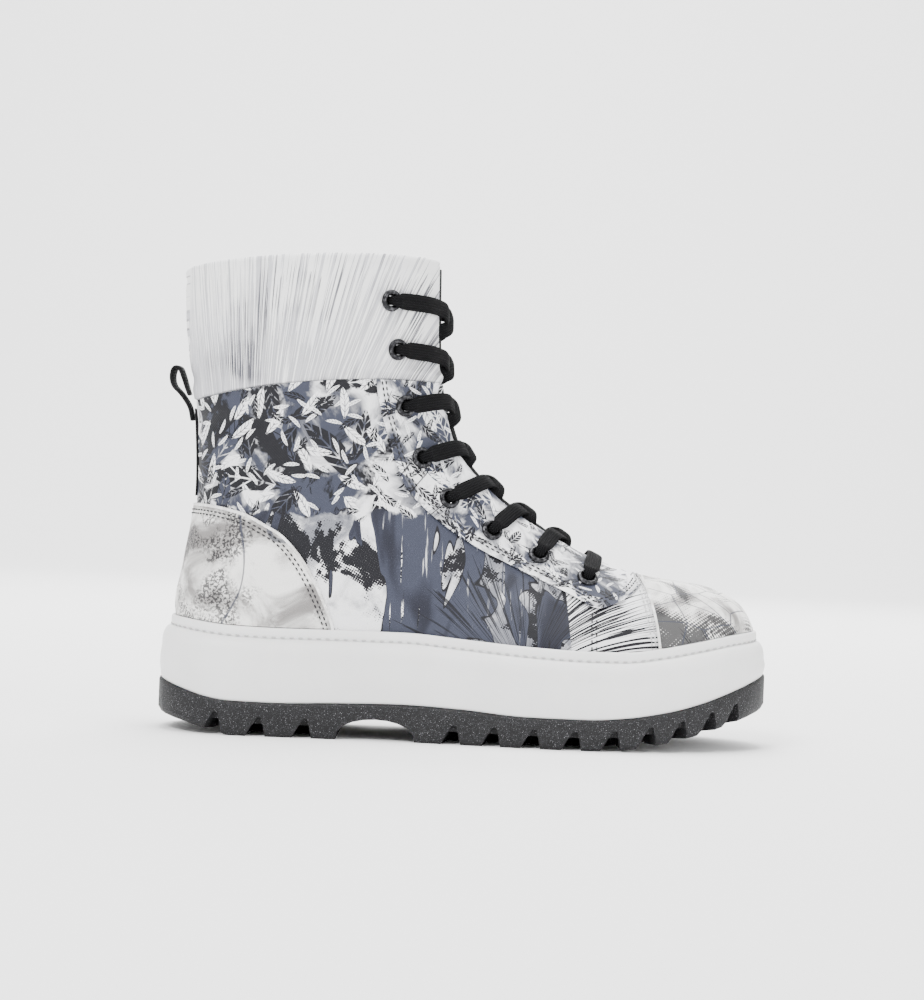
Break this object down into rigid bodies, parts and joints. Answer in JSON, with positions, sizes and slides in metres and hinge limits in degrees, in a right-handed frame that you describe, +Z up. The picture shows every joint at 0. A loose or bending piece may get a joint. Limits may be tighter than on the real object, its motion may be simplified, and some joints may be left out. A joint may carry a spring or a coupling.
{
  "type": "lace-up platform boot",
  "caption": "High-top lace-up boot, right foot, with a printed cloth upper, padded collar, thick white platform and a black lugged sole.",
  "frame": {"origin": "on the floor, below the middle of the sole's length and width", "axes": "+X towards the toe, +Z up, -Y towards the outer (lateral) side of the foot"},
  "size_m": [0.291, 0.1074, 0.2255],
  "materials": {
    "outsole": "matte black rubber with fine pale speckles",
    "midsole": "matte white rubber",
    "insole": "dark cloth lining",
    "upper": "printed cloth, white, grey and slate blue",
    "cuff": "soft off-white padded cloth with fine grey lines",
    "tongue": "black cloth",
    "webbing": "black woven tape",
    "lace": "black flat woven lace",
    "eyelet": "black enamel"
  },
  "bodies": {
    "root": {"outsole": "outsole", "midsole": "midsole", "insole": "insole", "upper": "upper", "cuff": "cuff", "tongue": "tongue", "heel_counter": "upper", "toe_cap": "upper", "eyestay": "upper", "back_tape": "webbing", "pull_loop": "webbing", "eyelet_lateral_1": "eyelet", "eyelet_lateral_2": "eyelet", "eyelet_lateral_3": "eyelet", "eyelet_lateral_4": "eyelet", "eyelet_lateral_5": "eyelet", "eyelet_lateral_6": "eyelet", "eyelet_lateral_7": "eyelet", "eyelet_lateral_8": "eyelet", "eyelet_medial_1": "eyelet", "eyelet_medial_2": "eyelet", "eyelet_medial_3": "eyelet", "eyelet_medial_4": "eyelet", "eyelet_medial_5": "eyelet", "eyelet_medial_6": "eyelet", "eyelet_medial_7": "eyelet", "eyelet_medial_8": "eyelet", "lace_bar": "lace", "lace_cross_1": "lace", "lace_cross_2": "lace", "lace_cross_3": "lace", "lace_cross_4": "lace", "lace_cross_5": "lace", "lace_cross_6": "lace", "lace_cross_7": "lace"}
  },
  "joints": []
}
